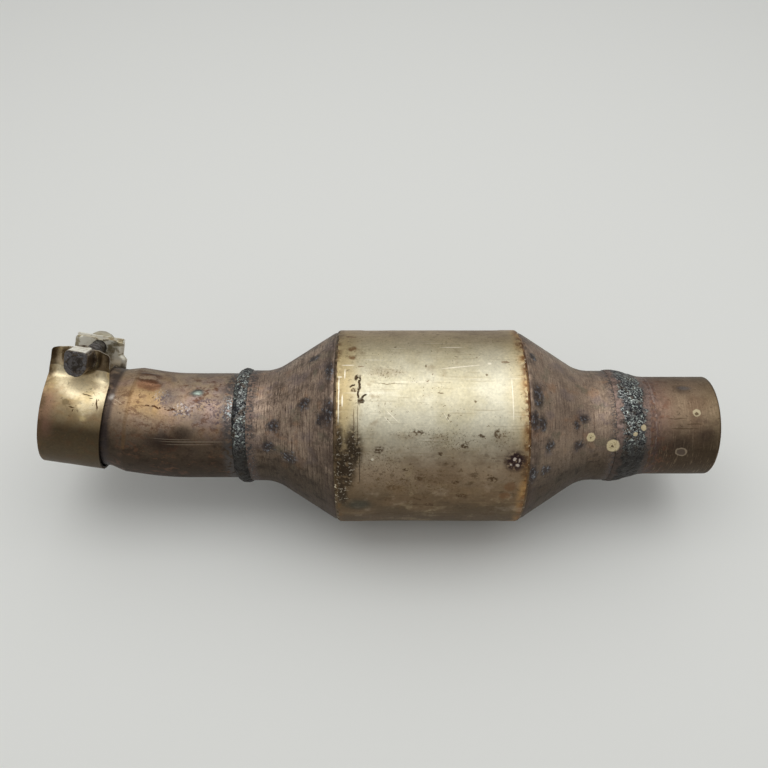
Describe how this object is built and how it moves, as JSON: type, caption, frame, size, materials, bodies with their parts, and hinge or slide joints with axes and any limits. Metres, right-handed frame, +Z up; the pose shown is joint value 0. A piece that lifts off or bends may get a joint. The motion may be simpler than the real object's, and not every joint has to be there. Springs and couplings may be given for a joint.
{
  "type": "diesel particulate filter",
  "caption": "Round steel filter can between two spun cones, with a bent inlet pipe carrying a bolted band clamp and a plain outlet pipe stub; worn, heat-tinted.",
  "frame": {"origin": "centre of the outlet pipe's open end face", "axes": "+X along the can's axis and out of the outlet pipe, +Y towards the back, +Z up as it lies in the picture"},
  "size_m": [0.3771, 0.11, 0.1158],
  "materials": {
    "can_steel": "brushed, pale straw tint, stained and scratched",
    "cone_steel": "spun, matt brown heat tint",
    "inlet_pipe_steel": "smooth, bronze heat tint with dark patches",
    "outlet_pipe_steel": "smooth, dark brown heat tint",
    "seam_steel": "lumpy weld strip, brown edge",
    "weld_steel": "rippled blue-black weld",
    "filter_ceramic": "rough, grey and sooty",
    "plug_cement": "rough, dark grey",
    "mat_fibre": "felted fibre",
    "seal_mesh": "knitted wire",
    "band_steel": "polished, straw tint",
    "sleeve_steel": "rolled, grey",
    "bolt_steel": "rough, dark, sooty"
  },
  "bodies": {
    "root": {"can_shell": "can_steel", "inlet_cone": "cone_steel", "outlet_cone": "cone_steel", "inlet_pipe": "inlet_pipe_steel", "outlet_pipe": "outlet_pipe_steel", "can_inlet_weld": "seam_steel", "can_outlet_weld": "seam_steel", "inlet_pipe_weld": "weld_steel", "outlet_pipe_weld": "weld_steel", "filter_monolith": "filter_ceramic", "inlet_channel_plugs": "plug_cement", "outlet_channel_plugs": "plug_cement", "support_mat": "mat_fibre", "inlet_seal_ring": "seal_mesh", "outlet_seal_ring": "seal_mesh", "clamp_band": "band_steel", "clamp_sleeve": "sleeve_steel", "clamp_pressure_bar": "band_steel", "clamp_bolt": "bolt_steel", "clamp_nut": "bolt_steel", "clamp_washer": "bolt_steel"}
  },
  "joints": []
}
